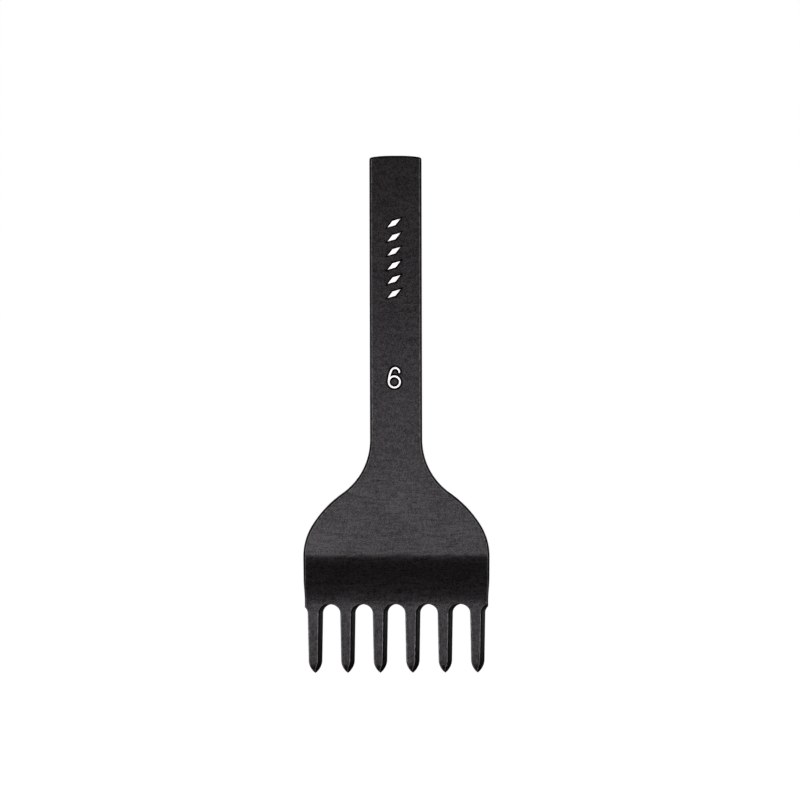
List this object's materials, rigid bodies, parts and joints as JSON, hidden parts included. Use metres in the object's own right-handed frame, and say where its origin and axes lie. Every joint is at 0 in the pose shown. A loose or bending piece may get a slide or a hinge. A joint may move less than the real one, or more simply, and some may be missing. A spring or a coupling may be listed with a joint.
{
  "type": "pricking iron",
  "caption": "Hand-struck steel iron with a rectangular shank, a flared hollow-ground head and a row of slanted prongs that mark and pierce evenly spaced stitch holes in leather.",
  "frame": {"origin": "middle of the row of prong tips, where the iron meets the leather; a hand or a holder on the shank keeps it upright", "axes": "+Z from the prong tips up to the striking end, +X along the row of prongs to the right when the marked face is seen, +Y from the marked front face to the plain back face"},
  "size_m": [0.0342, 0.0066, 0.0955],
  "materials": {
    "black_steel": "black oxide over fine brushed grinding marks, satin",
    "light_fill": "light engraved fill, matt"
  },
  "bodies": {
    "root": {"striking_end": "black_steel", "shank": "black_steel", "flared_head": "black_steel", "ground_blade": "black_steel", "prong_1": "black_steel", "prong_2": "black_steel", "prong_3": "black_steel", "prong_4": "black_steel", "prong_5": "black_steel", "prong_6": "black_steel", "size_numeral": "light_fill", "stitch_ornament": "light_fill"}
  },
  "joints": []
}
